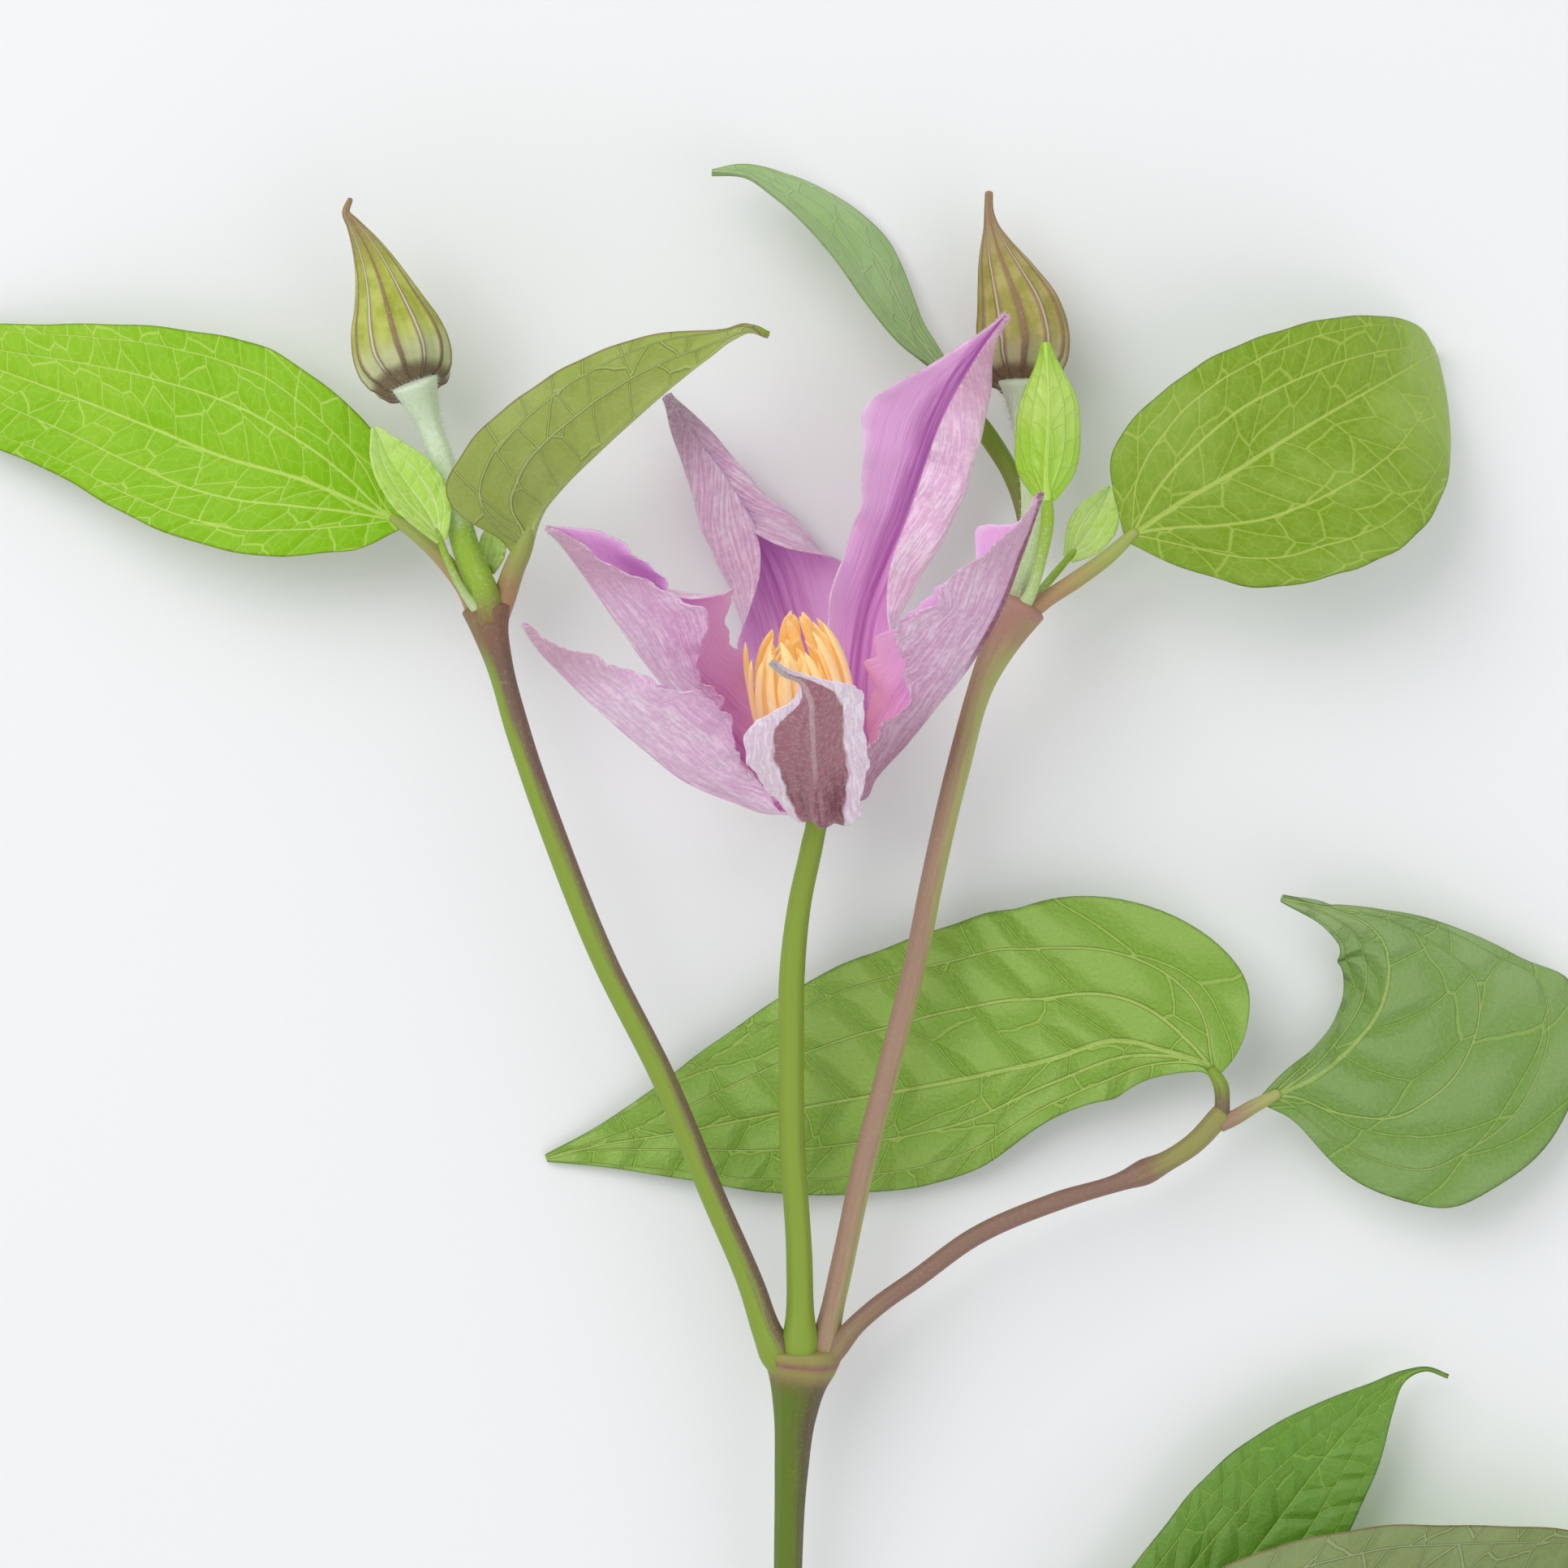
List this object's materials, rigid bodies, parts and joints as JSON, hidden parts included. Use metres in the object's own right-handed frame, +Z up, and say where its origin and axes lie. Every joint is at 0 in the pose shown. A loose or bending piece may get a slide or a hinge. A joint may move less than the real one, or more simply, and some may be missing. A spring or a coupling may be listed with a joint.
{
  "type": "clematis flowering stem",
  "caption": "Cut clematis shoot lying flat: one open bloom, two ribbed buds and broad veined leaves on slender forked stems.",
  "frame": {"origin": "centre of the footprint, on the surface that the shoot lies on", "axes": "+Y along the main stem from the cut end towards the buds, +Z up from the surface, +X to the right of the bloom seen from above"},
  "size_m": [0.2333, 0.2494, 0.056],
  "materials": {
    "green_stem": "fresh green stem, satin",
    "purple_stem": "fresh purple-brown stem, satin",
    "downy_stalk": "pale downy stalk",
    "bright_leaf": "young leaf, yellow-green with pale veins",
    "fresh_leaf": "leaf, mid green with pale veins",
    "dark_leaf": "leaf, darker green with pale veins",
    "leaf_underside": "leaf underside, dull olive with raised veins",
    "bud": "downy bud, olive with purple-brown ribs",
    "tepal": "soft mauve-pink petal, pale downy outside",
    "stamen": "warm yellow, matt",
    "style": "deep yellow, silky"
  },
  "bodies": {
    "root": {"main_stem": "green_stem", "shoot_left": "green_stem", "bloom_stalk": "green_stem", "shoot_right": "purple_stem", "leaf_mid_stalk": "purple_stem", "leaf_low_stalk": "purple_stem", "bud_stalk_left": "downy_stalk", "bud_stalk_right": "downy_stalk", "leaf_left_outer": "bright_leaf", "leaf_left_inner": "leaf_underside", "leaf_right_outer": "fresh_leaf", "leaf_right_inner": "fresh_leaf", "leaflet_mid_left": "fresh_leaf", "leaflet_mid_right": "dark_leaf", "leaflet_low_left": "dark_leaf", "leaflet_low_right": "leaf_underside", "bract_left_outer": "bright_leaf", "bract_left_inner": "bright_leaf", "bract_right_front": "bright_leaf", "bract_right_back": "bright_leaf", "bud_left": "bud", "bud_right": "bud", "tepal_front": "tepal", "tepal_left_low": "tepal", "tepal_left_high": "tepal", "tepal_back_left": "tepal", "tepal_back_right": "tepal", "tepal_right": "tepal", "stamens": "stamen", "styles": "style"}
  },
  "joints": []
}
